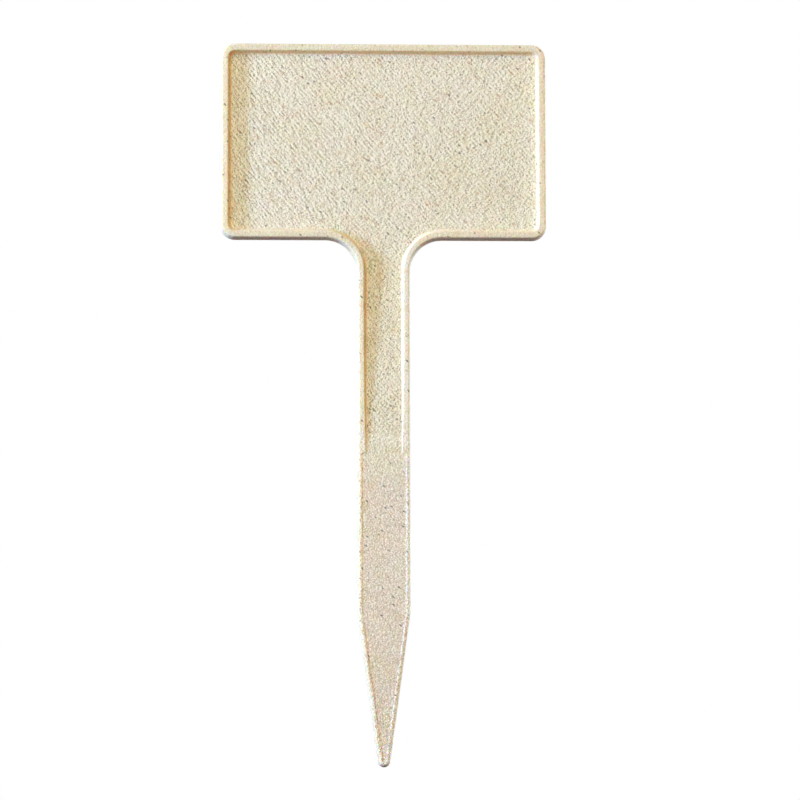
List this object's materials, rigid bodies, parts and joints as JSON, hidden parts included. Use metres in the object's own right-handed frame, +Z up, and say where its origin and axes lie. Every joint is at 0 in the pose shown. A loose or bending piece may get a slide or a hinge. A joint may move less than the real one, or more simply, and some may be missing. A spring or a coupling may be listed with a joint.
{
  "type": "plant label stake",
  "caption": "Flat plant label stake: a rectangular framed writing panel on a narrow channelled stem that runs out into a lipped, pointed blade.",
  "frame": {"origin": "on the stake's axis at soil level, where the rails end, midway through the thickness", "axes": "+Z up the stake towards the panel, -Y out of the recessed written side, +X across the panel to the right as it is read"},
  "size_m": [0.06, 0.0024, 0.1329],
  "materials": {
    "fibre_composite": "matt cream plastic filled with fine plant fibre: light and dark grain, brown specks, olive and rust-coloured blotches, faint diagonal tool marks in the recess"
  },
  "bodies": {
    "root": {"label_stake": "fibre_composite"}
  },
  "joints": []
}
